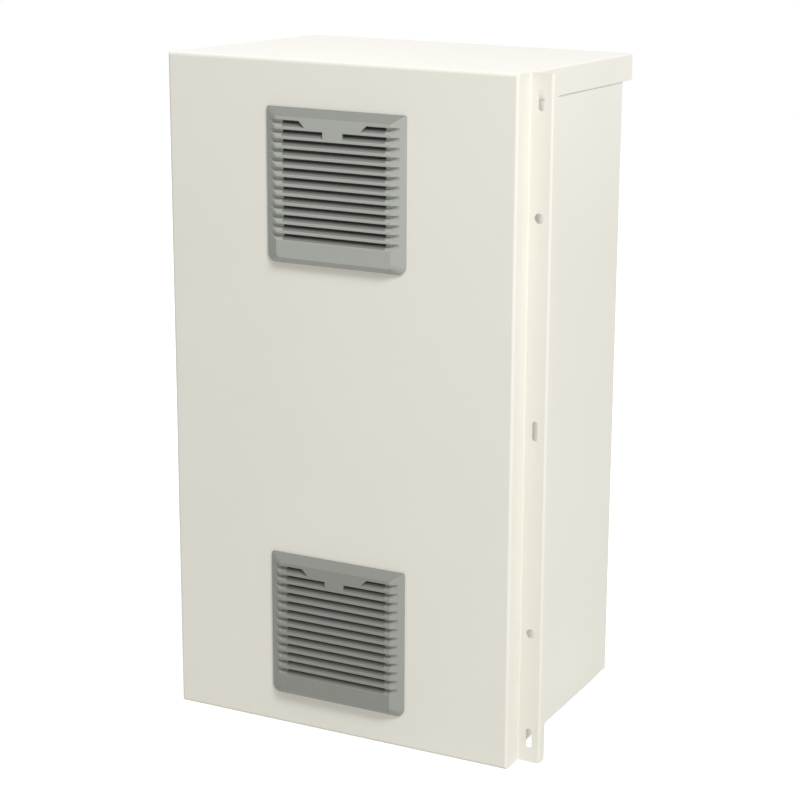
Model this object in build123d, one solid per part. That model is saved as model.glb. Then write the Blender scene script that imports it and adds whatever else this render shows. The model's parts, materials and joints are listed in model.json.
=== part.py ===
from build123d import *
import math
import os

# Roadside utility cabinet, millimetres. Z is up, the vented rear face looks along -Y
# and the door, under the overhang of the rain hood, looks along +Y.
# The origin is on the ground, in the middle of the four anchor holes.

# Cabinet body
cabinet_width = 640.0
cabinet_height = 1150.0
body_depth = 434.0
ground_clearance = 21.0
sheet = 2.0
bend_radius = 3.0
corner_round = 1.2

# How far a cut runs past the face that it opens, and how far a welded part sinks in
past = 1.0
sunk = 1.0

# Vented rear panel, a folded pan that caps the back of the body
pan_return = 47.0
pan_flange = 28.0
rear_foam = 3.0
rear_foam_margin = 5.0
stud_radius = 3.0
stud_length = 14.0
stud_rows = 5
stud_columns = 3
stud_end_margin = 90.0
stud_edge = 11.0
stud_clearance = 0.3
nut_radius = 5.8
nut_height = 5.0

# Mounting flange on the right side of the rear panel
flange_width = 39.0
flange_lip = 20.0
flange_hole_line = 19.0
flange_slot_length = 34.0
flange_slot_width = 10.5
flange_slot_end = 43.0
flange_round_radius = 8.5
flange_round_end = 228.0

# Rain hood
hood_drop = 46.0
hood_overhang = 39.0
hood_hem = 10.0
hood_stud_x = 240.0
hood_stud_y = 130.0

# Door opening and door
stile_width = 32.0
header_height = 75.0
sill_height = 40.0
rebate_depth = 25.0
rebate_lip = 15.0
door_gap = 3.0
door_thickness = 22.0
door_flange = 18.0
seal_width = 12.0
seal_clearance = 0.3
stiffener_x = 90.0
stiffener_width = 50.0
stiffener_crown = 30.0
stiffener_depth = 12.0
stiffener_end = 60.0

# Hinges
hinge_count = 3
hinge_end_margin = 86.0
hinge_height = 60.0
hinge_barrel_radius = 7.0
hinge_pin_radius = 3.0
hinge_leaf = 26.0
hinge_leaf_thickness = 3.0
hinge_web = 10.0
hinge_lift = 8.0
hinge_screw_inset = 8.0
hinge_screw_pitch = 16.0
hinge_screw_radius = 4.0
hinge_screw_head = 2.5
running_fit = 0.05
axial_gap = 0.25

# Handle and quarter-turn latches
latch_inset = 46.0
latch_reach = 42.0
latch_cam_width = 18.0
latch_cam_thickness = 3.0
latch_cam_clearance = 0.5
latch_end_margin = 135.0
latch_bezel_radius = 15.0
latch_bezel_height = 5.0
latch_core_radius = 9.0
latch_shank_radius = 7.0
latch_stem_radius = 4.0
latch_nut_radius = 6.0
latch_nut_height = 4.0
latch_sleeve_radius = 11.0
latch_core_gap = 0.2
latch_core_recess = 1.0
latch_edge_round = 2.0
key_square = 8.0
key_depth = 7.0
handle_plate_width = 40.0
handle_plate_height = 130.0
handle_plate_thickness = 6.0
handle_plate_corner = 12.0
handle_plate_round = 2.0
handle_socket_depth = 8.0
handle_edge_round = 2.5
handle_tip_flat = 1.0
handle_boss_radius = 13.0
handle_stand_off = 26.0
handle_length = 112.0
handle_arm_width = 20.0
handle_arm_thickness = 10.0

# Louvred vents
vent_size = 256.0
vent_proud = 14.0
vent_rim = 3.0
vent_side_bevel = 22.0
vent_top_bevel = 14.0
vent_bottom_bevel = 10.0
vent_top_corner = 3.0
vent_bottom_corner = 14.0
vent_edge_round = 1.0
vent_face_corner = 0.6
vent_top_distance = 204.0
vent_lower_height = 185.0
vent_rim_width = 8.0
vent_flange_gap = 2.0
vent_flange_width = 6.0
vent_flange_thickness = 3.0
vent_foam = 1.5
vent_wall = 2.5
vent_depth = 38.0
vent_ledge = 6.0
vent_air_radius = 81.0
cover_gap = 0.5
cover_standoff = 0.3
louvre_count = 13
louvre_pitch = 15.5
louvre_first = 19.5
louvre_slot = 5.0
louvre_slot_width = 190.0
louvre_lip = 3.5
louvre_depth = 6.5
plate_half_width = 62.5
plate_waist_half_width = 49.0
plate_stem_half_width = 18.0
plate_bend_in = 2.5
plate_bend_down = 1.5
peg_radius = 1.5
peg_offset = 100.0
peg_notch = 7.0
peg_clearance = 0.4
peg_lug = 6.0
lug_radius = 2.6
hinge_inset = 2.5
filter_thickness = 16.0
grid_bar = 3.0
grid_bars = 9
housing_gap = 1.0
housing_lip = 2.0
filter_gap = 0.5
grid_gap = 1.0
clip_width = 26.0
clip_rise = 1.8
clip_length = 12.0
clip_gap = 0.2

# Axial fan behind the lower vent
fan_outer_radius = 86.0
fan_inner_radius = 80.0
fan_depth = 50.0
fan_hub_radius = 34.0
fan_hub_round = 5.0
fan_hub_gap = 4.0
fan_motor_gap = 1.0
fan_shaft_gap = 1.0
fan_motor_radius = 30.0
fan_motor_depth = 20.0
fan_motor_wall = 4.0
fan_strut_width = 8.0
fan_strut_thickness = 4.0
fan_strut_root = 4.0
fan_struts = 4
fan_blades = 7
fan_tip_gap = 2.5
blade_chord = 36.0
blade_thickness = 2.0
blade_camber = 5.0
blade_angle = 38.0
blade_root = 4.0
fan_shaft_radius = 4.0
fan_ear = 16.0
fan_ear_thickness = 5.0
fan_ear_root = 8.0
fan_ear_angles = (45, 135, 225, 315)
fan_screw_radius = 2.5
fan_screw_head_radius = 4.5
fan_screw_head = 3.0
fan_bolt_radius = 97.0

# Rack rails and their side members
rack_hole_line = 232.55
rack_opening = 450.0
rail_face = 30.0
rail_web = 40.0
rail_bottom = 86.0
rail_top_distance = 64.0
rail_setback = 56.0
rack_unit = 44.45
rack_hole = 9.5
rack_hole_offset = 15.875
member_rear_gap = 39.0
member_drop = 24.0
member_lower = 130.0
member_top_distance = 110.0
rail_bolt_radius = 5.0
rail_bolt_head = 3.0
rail_bolt_places = (12.0, 30.0)

# Base rails and cable entry
base_rail_width = 60.0
base_rail_inset = 70.0
base_rail_gap = 5.0
anchor_end_margin = 30.0
anchor_hole_radius = 7.0
anchor_access_radius = 14.0
entry_width = 400.0
entry_depth = 120.0
entry_overlap = 18.0
plug_radius = 16.0
plug_head_radius = 20.0
plug_count = 6
plug_pitch = 60.0
plug_head = 3.0
plug_depth = 4.0
plug_bead_height = 3.0
plug_bead = 1.5
plug_wall = 4.0
entry_screw_radius = 4.5
entry_screw_head = 3.0
entry_screw_count = 4
entry_socket_radius = 1.8
entry_socket_depth = 1.5

# Earth bar
earth_bar_length = 200.0
earth_bar_height = 20.0
earth_bar_thickness = 5.0
earth_bar_stand_off = 14.0
earth_bar_level = 190.0
earth_screws = 6
earth_screw_pitch = 28.0
earth_screw_radius = 2.5
earth_screw_depth = 4.0
earth_screw_head_radius = 5.0
earth_screw_head = 3.5
earth_post_radius = 7.0
earth_post_margin = 10.0

# Planes and faces worked out from the sizes above
half_width = cabinet_width / 2
rear_face = -body_depth / 2
door_face = body_depth / 2
wall_face = half_width - sheet
wall_inner = wall_face - sheet
roof_top = cabinet_height - sheet
roof_under = roof_top - sheet
floor_top = ground_clearance + sheet
pan_inner = rear_face + sheet
pan_end = rear_face + pan_return
shell_rear = pan_inner + rear_foam
hood_end = door_face + hood_overhang
opening_half = half_width - stile_width - sheet
opening_top = cabinet_height - header_height - sheet
opening_bottom = ground_clearance + sill_height
lip_front = door_face - rebate_depth
lip_back = lip_front - sheet
door_half = opening_half - door_gap
door_top = opening_top - door_gap
door_bottom = opening_bottom + door_gap
door_back = door_face - door_thickness
hinge_x = -opening_half
hinge_y = door_face + hinge_lift
cam_front = lip_back - latch_cam_clearance
cam_back = cam_front - latch_cam_thickness
mid_door = (door_top + door_bottom) / 2
stud_hole = stud_radius + stud_clearance
latch_line = opening_half - latch_inset
vent_upper_height = cabinet_height - vent_top_distance
cover_cavity = vent_size - vent_rim_width * 2
vent_flange = cover_cavity - vent_flange_gap * 2
vent_cutout = vent_flange - vent_flange_width * 2
vent_window = vent_cutout - vent_ledge * 2
rail_top = cabinet_height - rail_top_distance
rack_units = int((rail_top - rail_bottom) // rack_unit)
member_upper = cabinet_height - member_top_distance
base_rail_line = half_width - base_rail_inset
base_rail_end = -pan_end - base_rail_gap
anchor_y = base_rail_end - anchor_end_margin
os.makedirs("parts", exist_ok=True)


def block(x0, x1, y0, y1, z0, z1):
    return Pos((x0 + x1) / 2, (y0 + y1) / 2, (z0 + z1) / 2) * Box(abs(x1 - x0), abs(y1 - y0), abs(z1 - z0))


def rod_x(x0, x1, y, z, radius):
    return Pos((x0 + x1) / 2, y, z) * Rot(0, 90, 0) * Cylinder(radius, abs(x1 - x0))


def rod_y(x, y0, y1, z, radius):
    return Pos(x, (y0 + y1) / 2, z) * Rot(90, 0, 0) * Cylinder(radius, abs(y1 - y0))


def rod_z(x, y, z0, z1, radius):
    return Pos(x, y, (z0 + z1) / 2) * Cylinder(radius, abs(z1 - z0))


def hex_y(x, y0, y1, z, radius):
    head = extrude(Plane.XZ * RegularPolygon(radius, 6), abs(y1 - y0) / 2, both=True)
    return Pos(x, (y0 + y1) / 2, z) * head


def folded(points, radius, plane):
    """A bent sheet's cross-section: the middle line of the sheet, thickened."""
    line = FilletPolyline(*points, radius=radius)
    return plane * trace(line, line_width=sheet)


def spread(count, pitch):
    return [pitch * (index - (count - 1) / 2) for index in range(count)]


def ends(low, high, count):
    return [low + (high - low) * index / (count - 1) for index in range(count)]


def save(name, *solids):
    shape = solids[0] if len(solids) == 1 else Compound(children=list(solids))
    export_step(shape, os.path.join("parts", name + ".step"))


# Side walls: one folded sheet each, with the rear flange, the front stile and the seal lip
def side_wall():
    middle = sheet / 2
    points = [
        (opening_half - rebate_lip, lip_front - middle),
        (opening_half + middle, lip_front - middle),
        (opening_half + middle, door_face - middle),
        (wall_face - middle, door_face - middle),
        (wall_face - middle, shell_rear + middle),
        (wall_face - pan_flange, shell_rear + middle),
    ]
    section = folded(points, bend_radius - middle, Plane.XY.offset(floor_top))
    wall = extrude(section, roof_under - floor_top)
    for z in ends(floor_top + stud_end_margin, roof_under - stud_end_margin, stud_rows):
        wall -= rod_y(wall_face - stud_edge, shell_rear - past, shell_rear + sheet + past, z, stud_hole)
    return wall


wall_right = side_wall()
save("side_wall_right", wall_right)
save("side_wall_left", mirror(wall_right, Plane.YZ))


# Roof and floor sheets, each with its rear flange and its part of the door frame
def end_sheet(face, frame_edge, inner_sign):
    """face is the sheet's inner surface, frame_edge the edge of the door opening beside it."""
    outside = face - inner_sign * sheet
    panel = block(-wall_face, wall_face, shell_rear, door_face, outside, face)
    front = block(-opening_half, opening_half, door_face - sheet, door_face, face, frame_edge)
    rebate_outer = frame_edge - inner_sign * sheet
    lip_reach = opening_half - rebate_lip
    rebate_start = lip_front + bend_radius - sheet
    rebate = block(-opening_half, opening_half, rebate_start, door_face, rebate_outer, frame_edge)
    rebate += block(-lip_reach, lip_reach, lip_back, door_face, rebate_outer, frame_edge)
    lip_end = frame_edge + inner_sign * rebate_lip
    lip = block(-lip_reach, lip_reach, lip_back, lip_front, rebate_outer, lip_end)
    rear_reach = wall_face - pan_flange
    rear_end = face + inner_sign * pan_flange
    rear = block(-rear_reach, rear_reach, shell_rear, shell_rear + sheet, face, rear_end)
    whole = panel + front + rebate + lip + rear
    for x in spread(stud_columns, rear_reach * 2 / stud_columns):
        z = outside + inner_sign * stud_edge
        whole -= rod_y(x, shell_rear - past, shell_rear + sheet + past, z, stud_hole)
    near = sheet / 4
    edges = whole.edges().filter_by(Axis.Y).filter_by_position(Axis.Z, outside - near, outside + near)
    return fillet(edges.group_by(Axis.X)[0] + edges.group_by(Axis.X)[-1], corner_round)


hood_studs = [(x, y) for x in (-hood_stud_x, hood_stud_x) for y in (-hood_stud_y, hood_stud_y)]
roof = end_sheet(roof_under, opening_top, -1)
for x, y in hood_studs:
    roof -= rod_z(x, y, roof_under - past, roof_top + past, stud_hole)
save("roof_panel", roof)

floor = end_sheet(floor_top, opening_bottom, 1)
floor -= block(-entry_width / 2, entry_width / 2, -entry_depth / 2, entry_depth / 2, 0, floor_top + past)
for x in (-base_rail_line, base_rail_line):
    for y in (-anchor_y, anchor_y):
        floor -= rod_z(x, y, 0, floor_top + past, anchor_access_radius)
save("floor_pan", floor)


# Rear panel: a rounded pan, with the flange, its bent lip and the holes folded on at the right
def pan(radius, inset):
    shell = block(
        -half_width + inset, half_width - inset, rear_face + inset, pan_end, inset, cabinet_height - inset
    )
    return fillet(shell.faces().sort_by(Axis.Y)[0].edges(), radius)


rear = pan(bend_radius + sheet, 0) - pan(bend_radius, sheet)
bend_start = pan_end - sheet - bend_radius * 2
rear -= block(wall_face - past, half_width + past, bend_start, pan_end + past, -past, cabinet_height + past)
middle = sheet / 2
flange_section = folded(
    [
        (half_width - middle, bend_start),
        (half_width - middle, pan_end - middle),
        (half_width + flange_width - middle, pan_end - middle),
        (half_width + flange_width - middle, pan_end - sheet + flange_lip),
    ],
    bend_radius,
    Plane.XY,
)
rear += extrude(flange_section, cabinet_height)
for z in (middle, cabinet_height - middle):
    rear += block(wall_face - sunk, half_width - middle, bend_start, pan_end, z - middle, z + middle)
flange_x = half_width + flange_hole_line
slot_half = (flange_slot_length - flange_slot_width) / 2
for level in ends(flange_slot_end, cabinet_height - flange_slot_end, 3):
    slot = Plane.XZ * SlotCenterToCenter(slot_half * 2, flange_slot_width, rotation=90)
    rear -= Pos(flange_x, pan_end, level) * extrude(slot, sheet * 2, both=True)
for level in (flange_round_end, cabinet_height - flange_round_end):
    rear -= rod_y(flange_x, pan_end - sheet * 2, pan_end + sheet * 2, level, flange_round_radius)
for level in (vent_upper_height, vent_lower_height):
    half = vent_cutout / 2
    rear -= block(-half, half, rear_face - past, pan_inner + past, level - half, level + half)

stud_places = []
for z in ends(floor_top + stud_end_margin, roof_under - stud_end_margin, stud_rows):
    for side in (-1, 1):
        stud_places.append((side * (wall_face - stud_edge), z))
for x in spread(stud_columns, (wall_face - pan_flange) * 2 / stud_columns):
    stud_places.append((x, ground_clearance + stud_edge))
    stud_places.append((x, roof_top - stud_edge))
for x, z in stud_places:
    rear += rod_y(x, pan_inner - sunk, pan_inner + stud_length, z, stud_radius)
save("rear_panel", rear)

nut_seat = shell_rear + sheet
nut_end = nut_seat + nut_height
nuts = []
for x, z in stud_places:
    nut = hex_y(x, nut_seat, nut_end, z, nut_radius)
    nuts.append(nut - rod_y(x, nut_seat - past, nut_end + past, z, stud_radius))
save("rear_panel_nuts", *nuts)

foam_out = wall_face - stud_edge - rear_foam_margin
foam_low = ground_clearance + stud_edge + rear_foam_margin
foam_high = roof_top - stud_edge - rear_foam_margin
foam = block(-foam_out, foam_out, pan_inner, shell_rear, foam_low, foam_high)
foam_in = foam_out - seal_width
foam_in_low = foam_low + seal_width
foam_in_high = foam_high - seal_width
foam -= block(-foam_in, foam_in, pan_inner - past, shell_rear + past, foam_in_low, foam_in_high)
save("rear_panel_seal", foam)


# Rain hood: a cap over the roof that overhangs the door
def hood_block(radius, inset):
    cap = block(
        -half_width + inset,
        half_width - inset,
        pan_end,
        hood_end - inset,
        cabinet_height - hood_drop,
        cabinet_height - inset,
    )
    top = cap.faces().sort_by(Axis.Z)[-1].edges()
    top = top.filter_by(Axis.Y) + top.sort_by(Axis.Y)[-1:]
    uprights = cap.edges().filter_by(Axis.Z).group_by(Axis.Y)[-1]
    return fillet(top + uprights, radius)


hood = hood_block(bend_radius, 0) - hood_block(bend_radius - sheet, sheet)
hem_low = cabinet_height - hood_drop
hem_half = half_width - bend_radius
hem_start = hood_end - sheet - hood_hem
hood += block(-hem_half, hem_half, hem_start, hood_end - sunk, hem_low, hem_low + sheet)
for x, y in hood_studs:
    hood += rod_z(x, y, roof_under - stud_length + sheet, roof_top + sunk, stud_radius)
save("roof_hood", hood)

hood_nuts = []
for x, y in hood_studs:
    low = roof_under - nut_height
    nut = Pos(x, y, low) * extrude(RegularPolygon(nut_radius, 6), nut_height)
    hood_nuts.append(nut - rod_z(x, y, low - past, roof_under + past, stud_radius))
save("roof_hood_nuts", *hood_nuts)


# Base rails and the cable entry plate under the floor
def base_rail(side):
    inner = side * (base_rail_line - base_rail_width / 2)
    outer = side * (base_rail_line + base_rail_width / 2)
    y0 = -base_rail_end
    y1 = base_rail_end
    rail = block(inner, outer, y0, y1, 0, sheet)
    rail += block(inner, outer, y0, y1, ground_clearance - sheet, ground_clearance)
    rail += block(outer - side * sheet, outer, y0, y1, 0, ground_clearance)
    for y in (-anchor_y, anchor_y):
        rail -= rod_z(side * base_rail_line, y, -past, sheet + past, anchor_hole_radius)
        rail -= rod_z(side * base_rail_line, y, sheet * 2, ground_clearance + past, anchor_access_radius)
    return rail


save("base_rail_left", base_rail(-1))
save("base_rail_right", base_rail(1))

entry_x = entry_width / 2 + entry_overlap
entry_y = entry_depth / 2 + entry_overlap
entry_top = ground_clearance
entry_plate = block(-entry_x, entry_x, -entry_y, entry_y, entry_top - sheet, entry_top)
plug_places = [(x, 0) for x in spread(plug_count, plug_pitch)]
for x, y in plug_places:
    entry_plate -= rod_z(x, y, 0, entry_top + past, plug_radius)
save("cable_entry_plate", entry_plate)

plugs = []
for x, y in plug_places:
    underside = entry_top - sheet
    plug_top = entry_top + plug_head
    plug = rod_z(x, y, underside - plug_depth, plug_top, plug_radius - running_fit)
    plug += rod_z(x, y, entry_top, plug_top, plug_head_radius)
    plug += rod_z(x, y, underside - plug_bead_height, underside, plug_radius + plug_bead)
    plugs.append(plug - rod_z(x, y, entry_top - past, plug_top + past, plug_radius - plug_wall))
save("blanking_plugs", *plugs)

entry_screws = []
screw_inset = entry_overlap / 2
for x in ends(screw_inset - entry_x, entry_x - screw_inset, entry_screw_count):
    for y in (screw_inset - entry_y, entry_y - screw_inset):
        seat = entry_top - sheet
        face = seat - entry_screw_head
        screw = rod_z(x, y, face, seat, entry_screw_radius)
        entry_screws.append(screw - rod_z(x, y, face - past, face + entry_socket_depth, entry_socket_radius))
save("entry_plate_screws", *entry_screws)


# Door: a tray with an inner flange all round
def door_tray():
    tray = block(-door_half, door_half, door_back, door_face, door_bottom, door_top)
    face_edges = tray.faces().sort_by(Axis.Y)[-1].edges()
    tray = fillet(face_edges, bend_radius / 2)
    inner = door_half - sheet
    low = door_bottom + sheet
    high = door_top - sheet
    tray -= block(-inner, inner, door_back + sheet, door_face - sheet, low, high)
    window = door_half - door_flange
    low = door_bottom + door_flange
    high = door_top - door_flange
    return tray - block(-window, window, door_back - past, door_back + sheet + past, low, high)


latch_levels = {
    "upper": door_top - latch_end_margin,
    "lower": door_bottom + latch_end_margin,
}
door = door_tray()
door -= rod_y(latch_line, door_face - sheet - past, door_face + past, mid_door, latch_sleeve_radius)
for level in latch_levels.values():
    door -= rod_y(latch_line, door_face - sheet - past, door_face + past, level, latch_sleeve_radius)
save("door_panel", door)

seal_front = lip_front + seal_clearance
seal_out = door_half - sheet
seal = block(-seal_out, seal_out, seal_front, door_back, door_bottom + sheet, door_top - sheet)
seal_in = seal_out - seal_width
seal_low = door_bottom + sheet + seal_width
seal_high = door_top - sheet - seal_width
seal -= block(-seal_in, seal_in, seal_front - past, door_back + past, seal_low, seal_high)
save("door_seal", seal)

stiffeners = []
for side in (-1, 1):
    x = side * stiffener_x
    low = door_bottom + stiffener_end
    high = door_top - stiffener_end
    face = door_face - sheet
    crown = face - stiffener_depth
    half = stiffener_crown / 2
    inner = half - sheet
    hat = block(x - stiffener_width / 2, x + stiffener_width / 2, face - sheet, face, low, high)
    box = block(x - half, x + half, crown, face, low, high)
    hollow = block(x - inner, x + inner, crown + sheet, face + past, low - past, high + past)
    stiffeners.append((hat + box) - hollow)
save("door_stiffeners", *stiffeners)


# Lift-off hinges: the lower knuckle on the frame carries the pin, the upper one turns with the door
def knuckle(side, z0, z1, bore):
    """A leaf on the sheet, a web and a barrel round the pin; side is -1 on the frame, 1 on the door."""
    leaf_start = hinge_x + side * (door_gap + sunk)
    leaf_end = hinge_x + side * hinge_leaf
    web_end = hinge_x + side * hinge_web
    leaf = block(leaf_start, leaf_end, door_face, door_face + hinge_leaf_thickness, z0, z1)
    web = block(hinge_x, web_end, hinge_y - hinge_barrel_radius, hinge_y, z0, z1)
    web += block(leaf_start, web_end, door_face, hinge_y, z0, z1)
    barrel = rod_z(hinge_x, hinge_y, z0, z1, hinge_barrel_radius)
    return leaf + web + barrel - rod_z(hinge_x, hinge_y, z0 - past, z1 + past, bore)


frame_screws = []
door_screws = []
hinge_levels = ends(door_bottom + hinge_end_margin, door_top - hinge_end_margin, hinge_count)
hinge_names = ["lower", "middle", "upper"]
for name, level in zip(hinge_names, hinge_levels):
    half = hinge_height / 2
    lower_knuckle = knuckle(-1, level - half, level - axial_gap, hinge_pin_radius)
    upper_knuckle = knuckle(1, level + axial_gap, level + half, hinge_pin_radius + running_fit)
    save("frame_hinge_" + name, lower_knuckle)
    save("door_hinge_" + name, upper_knuckle)
    save("hinge_pin_" + name, rod_z(hinge_x, hinge_y, level - half, level + half, hinge_pin_radius))
    seat = door_face + hinge_leaf_thickness
    screw_end = seat + hinge_screw_head
    screw_x = hinge_leaf - hinge_screw_inset
    for offset in spread(2, hinge_screw_pitch):
        low_z = level - half / 2 + offset
        high_z = level + half / 2 + offset
        frame_screws.append(rod_y(hinge_x - screw_x, seat, screw_end, low_z, hinge_screw_radius))
        door_screws.append(rod_y(hinge_x + screw_x, seat, screw_end, high_z, hinge_screw_radius))
save("frame_hinge_screws", *frame_screws)
save("door_hinge_screws", *door_screws)


# Latch cam: a tongue that is upright when it is open and turns behind the frame lip to lock
def cam(level, way):
    half = latch_cam_width / 2
    tip = level + way * latch_reach
    tongue = block(latch_line - half, latch_line + half, cam_back, cam_front, level, tip)
    tip_edges = tongue.edges().filter_by(Axis.Y).sort_by(Axis.Z, reverse=way > 0)[:2]
    tongue = fillet(tip_edges, latch_cam_width / 3)
    tongue += rod_y(latch_line, cam_back, cam_front, level, half)
    return tongue - rod_y(latch_line, cam_back - past, cam_front + past, level, latch_stem_radius)


def shank(level, front):
    body = rod_y(latch_line, cam_front, front, level, latch_shank_radius)
    body += rod_y(latch_line, cam_back, cam_front, level, latch_stem_radius)
    return body + rod_y(latch_line, cam_back - latch_nut_height, cam_back, level, latch_nut_radius)


plate_face = door_face + handle_plate_thickness
plate_outline = Plane.XZ * RectangleRounded(handle_plate_width, handle_plate_height, handle_plate_corner)
plate = extrude(plate_outline, handle_plate_thickness / 2, both=True)
plate_mid = mid_door - handle_plate_height / 2 + handle_plate_width / 2
plate = Pos(latch_line, door_face + handle_plate_thickness / 2, plate_mid) * plate
plate = fillet(plate.faces().sort_by(Axis.Y)[-1].edges(), handle_plate_round)
plate += rod_y(latch_line, door_back + sheet, door_face, mid_door, latch_sleeve_radius)
plate -= rod_y(latch_line, door_back, plate_face + past, mid_door, latch_shank_radius + running_fit)
save("handle_plate", plate)

boss_back = plate_face + axial_gap
boss_front = boss_back + handle_stand_off
lever = rod_y(latch_line, boss_back, boss_front, mid_door, handle_boss_radius)
arm_back = boss_front - handle_arm_thickness
arm = block(
    latch_line - handle_arm_width / 2,
    latch_line + handle_arm_width / 2,
    arm_back,
    boss_front,
    mid_door - handle_length,
    mid_door,
)
arm = fillet(arm.edges().filter_by(Axis.Y).group_by(Axis.Z)[0], (handle_arm_width - handle_tip_flat) / 2)
lever += arm
lever = fillet(lever.faces().sort_by(Axis.Y)[-1].edges(), handle_edge_round)
socket_end = boss_back + handle_socket_depth
lever -= rod_y(latch_line, plate_face, socket_end, mid_door, latch_shank_radius)
save("door_handle", lever)
save("handle_spindle", shank(mid_door, socket_end))
save("handle_cam", cam(mid_door, 1))

for name, level in latch_levels.items():
    bezel = rod_y(latch_line, door_face, door_face + latch_bezel_height, level, latch_bezel_radius)
    bezel = fillet(bezel.faces().sort_by(Axis.Y)[-1].edges(), latch_edge_round)
    bezel += rod_y(latch_line, door_back + sheet, door_face, level, latch_sleeve_radius)
    bezel -= rod_y(latch_line, door_back, door_face + past, level, latch_shank_radius + running_fit)
    bore_end = door_face + latch_bezel_height + past
    bezel -= rod_y(latch_line, door_face, bore_end, level, latch_core_radius + running_fit)
    save("latch_bezel_" + name, bezel)
    core_back = door_face + latch_core_gap
    core_face = door_face + latch_bezel_height - latch_core_recess
    core = shank(level, core_back)
    core += rod_y(latch_line, core_back, core_face, level, latch_core_radius)
    key = Pos(latch_line, core_face, level) * Rot(0, 45, 0) * Box(key_square, key_depth * 2, key_square)
    core -= key
    save("latch_core_" + name, core)
    save("latch_cam_" + name, cam(level, -1))


# Louvred vent: a moulded cover hinged at its foot on a housing that fills the cut-out
def rounded_outline(width, height, low_radius, high_radius):
    outline = Rectangle(width, height)
    corners = outline.vertices().group_by(Axis.Y)
    outline = fillet(corners[0], low_radius)
    return fillet(outline.vertices().sort_by(Axis.Y)[-2:], high_radius)


cover_back = rear_face - cover_standoff
cover_front = rear_face - vent_proud
rim_front = rear_face - vent_rim
flange_front = rear_face - vent_foam - vent_flange_thickness
cavity_front = flange_front - cover_gap
louvre_back = cover_front + louvre_depth
peg_drop = vent_size / 2 - hinge_inset
peg_y = cover_back - hinge_inset


def facing_rear(sketch, y, depth):
    """Extrudes a sketch drawn as X right and Y up, from plane y towards the rear face's outside."""
    return extrude(Plane((0, y, 0), x_dir=(1, 0, 0), z_dir=(0, -1, 0)) * sketch, depth)


def cover_blank():
    foot = rounded_outline(vent_size, vent_size, vent_bottom_corner, vent_top_corner)
    face = rounded_outline(
        vent_size - vent_side_bevel * 2,
        vent_size - vent_top_bevel - vent_bottom_bevel,
        vent_bottom_corner * vent_face_corner,
        vent_top_corner * vent_face_corner,
    )
    face = Pos(0, (vent_bottom_bevel - vent_top_bevel) / 2) * face
    rim = facing_rear(foot, cover_back, vent_rim - cover_standoff)
    low = Plane((0, rim_front, 0), x_dir=(1, 0, 0), z_dir=(0, -1, 0)) * foot
    high = Plane((0, cover_front, 0), x_dir=(1, 0, 0), z_dir=(0, -1, 0)) * face
    blank = rim + loft([low, high])
    return fillet(blank.faces().sort_by(Axis.Y)[0].edges(), vent_edge_round)


def louvre(index):
    """One groove with its sloping floor, and the slot through its back."""
    top = vent_size / 2 - louvre_first - index * louvre_pitch
    rise = louvre_pitch - louvre_lip
    points = [
        (cover_front - past, top),
        (louvre_back, top),
        (louvre_back, top - louvre_slot),
        (cover_front, top - rise),
        (cover_front - past, top - rise),
    ]
    profile = Plane.YZ * make_face(Polyline(*points, close=True))
    groove = extrude(profile, vent_size / 2, both=True)
    half = louvre_slot_width / 2
    return groove + block(-half, half, louvre_back - past, cover_back + past, top - louvre_slot, top)


def finger_plate():
    """The plain T-shaped plate that breaks the first two louvres."""
    top = vent_size / 2 - louvre_first
    shoulder = top - louvre_pitch
    foot = top - louvre_pitch * 2
    bend = (plate_half_width + plate_waist_half_width) / 2 - plate_bend_in
    bend_level = (top + shoulder) / 2 - plate_bend_down
    edge = [
        Line((-plate_half_width, top + sunk), (-plate_half_width, top)),
        ThreePointArc(
            (-plate_half_width, top), (-bend, bend_level), (-plate_waist_half_width, shoulder)
        ),
        Polyline(
            (-plate_waist_half_width, shoulder),
            (-plate_stem_half_width, shoulder),
            (-plate_stem_half_width, foot),
            (plate_stem_half_width, foot),
            (plate_stem_half_width, shoulder),
            (plate_waist_half_width, shoulder),
        ),
        ThreePointArc(
            (plate_waist_half_width, shoulder), (bend, bend_level), (plate_half_width, top)
        ),
        Polyline((plate_half_width, top), (plate_half_width, top + sunk), (-plate_half_width, top + sunk)),
    ]
    return make_face(Curve() + edge)


def vent_cover():
    cover = cover_blank()
    half = cover_cavity / 2
    cover -= block(-half, half, cavity_front, cover_back + past, -half, half)
    for index in range(louvre_count):
        cover -= louvre(index)
    cover += facing_rear(finger_plate(), cavity_front, cavity_front - cover_front)
    foot = -vent_size / 2
    relief = block(-vent_size, vent_size, peg_y, cover_back + past, foot - past, foot + hinge_inset)
    relief -= rod_x(-vent_size, vent_size, peg_y, foot + hinge_inset, hinge_inset)
    cover -= relief
    for x in (-peg_offset, peg_offset):
        start = x - peg_notch / 2
        end = x + peg_notch / 2
        notch_front = peg_y - lug_radius - peg_clearance
        cover -= block(start, end, notch_front, cover_back + past, foot - past, -half)
        cover += rod_x(start - sunk, end + sunk, peg_y, -peg_drop, peg_radius)
    return cover


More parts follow.
